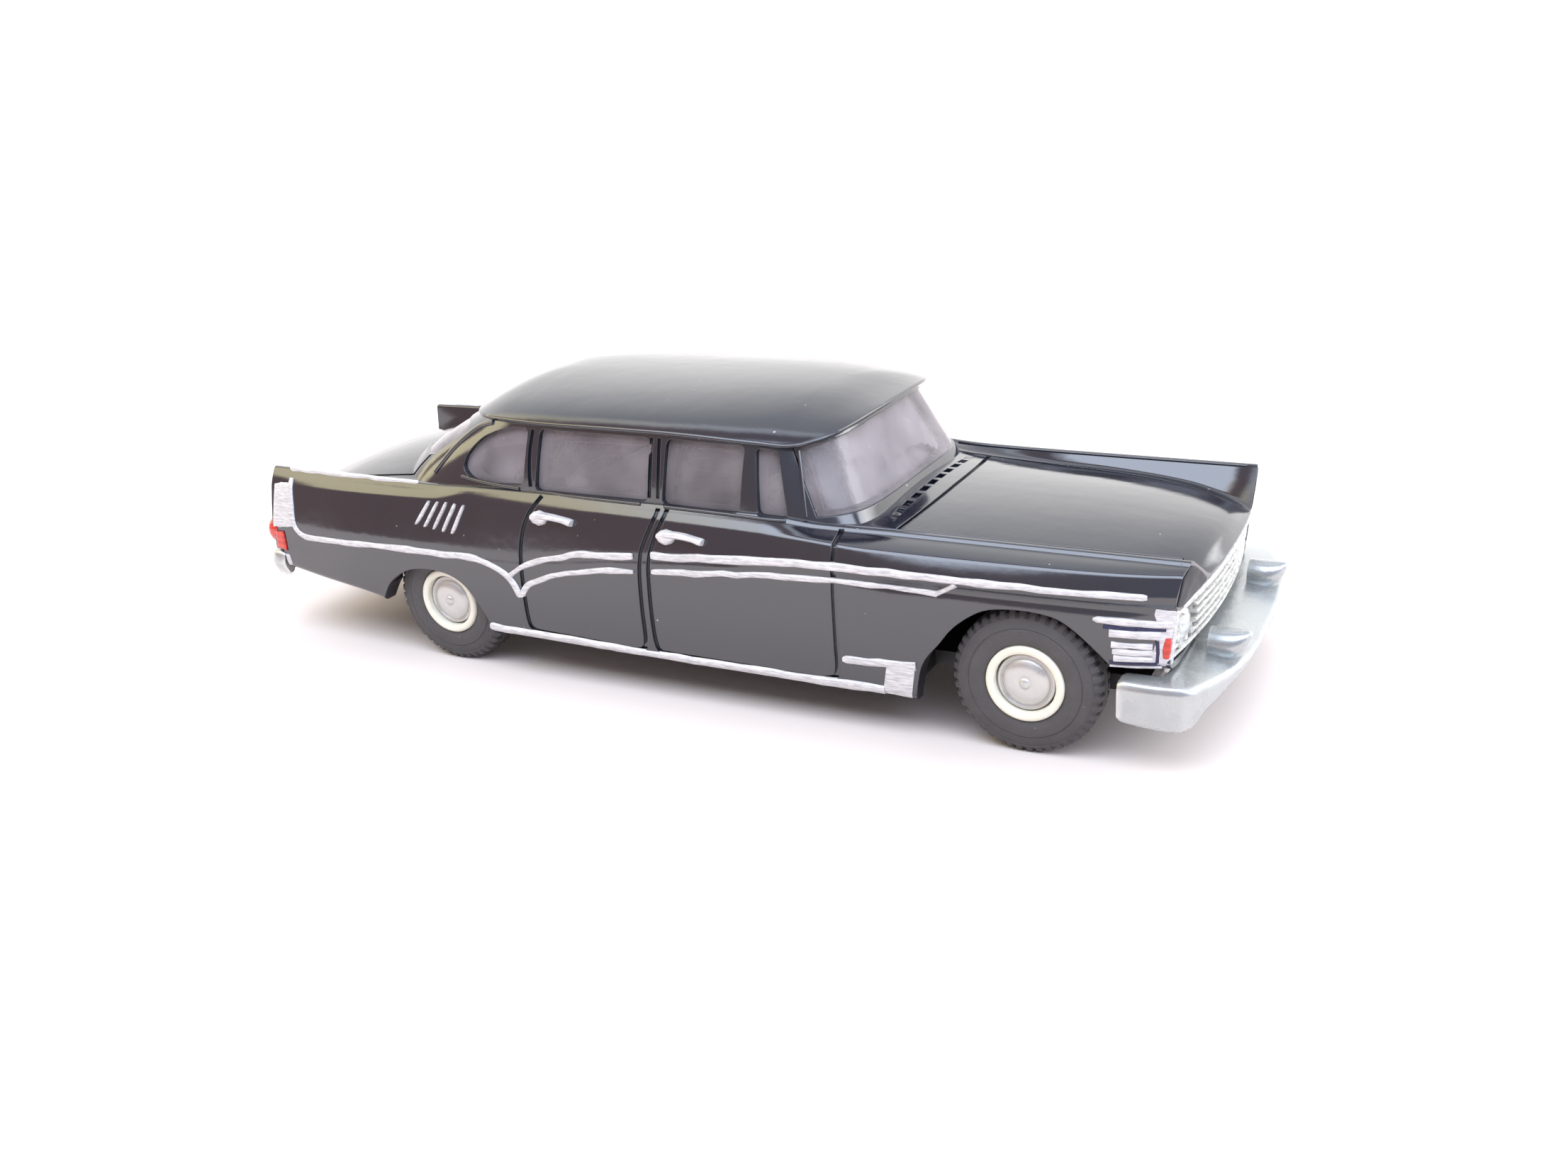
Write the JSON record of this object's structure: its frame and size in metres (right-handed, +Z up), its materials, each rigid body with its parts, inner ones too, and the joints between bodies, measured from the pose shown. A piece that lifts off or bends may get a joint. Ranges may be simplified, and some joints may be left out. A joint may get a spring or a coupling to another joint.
{
  "type": "miniature limousine",
  "caption": "Small-scale black limousine model with a hollow moulded body, clear window insert, seats, silver trim and free-rolling wheelsets.",
  "frame": {"origin": "on the ground below the middle of the bounding box", "axes": "+X towards the bonnet, +Y to the car's left, +Z up"},
  "size_m": [0.0636, 0.0218, 0.0171],
  "materials": {
    "black_lacquer": "gloss lacquer with faint dust",
    "clear_plastic": "clear moulding, slightly grey",
    "grey_trim": "matt",
    "dark_plastic": "satin",
    "chassis_black": "matt",
    "satin_silver": "satin silver",
    "silver_paint": "hand-brushed silver paint",
    "lamp_glass": "gloss",
    "red_lens": "gloss",
    "steel": "drawn wire",
    "tyre_rubber": "matt with moulded lugs",
    "ivory_plastic": "gloss ivory",
    "grey_plastic": "matt"
  },
  "bodies": {
    "body": {"body_shell": "black_lacquer", "window_glazing": "clear_plastic", "interior_tub": "grey_trim", "steering_wheel": "dark_plastic", "rear_view_mirror": "dark_plastic", "chassis_plate": "chassis_black", "front_bumper": "satin_silver", "rear_bumper": "satin_silver", "front_grille": "silver_paint", "right_headlamp": "lamp_glass", "left_headlamp": "lamp_glass", "right_tail_lamp": "red_lens", "left_tail_lamp": "red_lens"},
    "front_wheelset": {"front_axle": "steel", "front_right_tyre": "tyre_rubber", "front_right_whitewall": "ivory_plastic", "front_right_rim": "grey_plastic", "front_right_hubcap": "satin_silver", "front_left_tyre": "tyre_rubber", "front_left_whitewall": "ivory_plastic", "front_left_rim": "grey_plastic", "front_left_hubcap": "satin_silver"},
    "rear_wheelset": {"rear_axle": "steel", "rear_right_tyre": "tyre_rubber", "rear_right_whitewall": "ivory_plastic", "rear_right_rim": "grey_plastic", "rear_right_hubcap": "satin_silver", "rear_left_tyre": "tyre_rubber", "rear_left_whitewall": "ivory_plastic", "rear_left_rim": "grey_plastic", "rear_left_hubcap": "satin_silver"}
  },
  "joints": [
    {"name": "front_axle_spin", "type": "hinge", "parent": "body", "child": "front_wheelset", "pos_m": [0.02153, 0, 0.00396], "axis": [0, 1, 0], "continuous": true},
    {"name": "rear_axle_spin", "type": "hinge", "parent": "body", "child": "rear_wheelset", "pos_m": [-0.01583, 0, 0.00396], "axis": [0, 1, 0], "continuous": true}
  ]
}
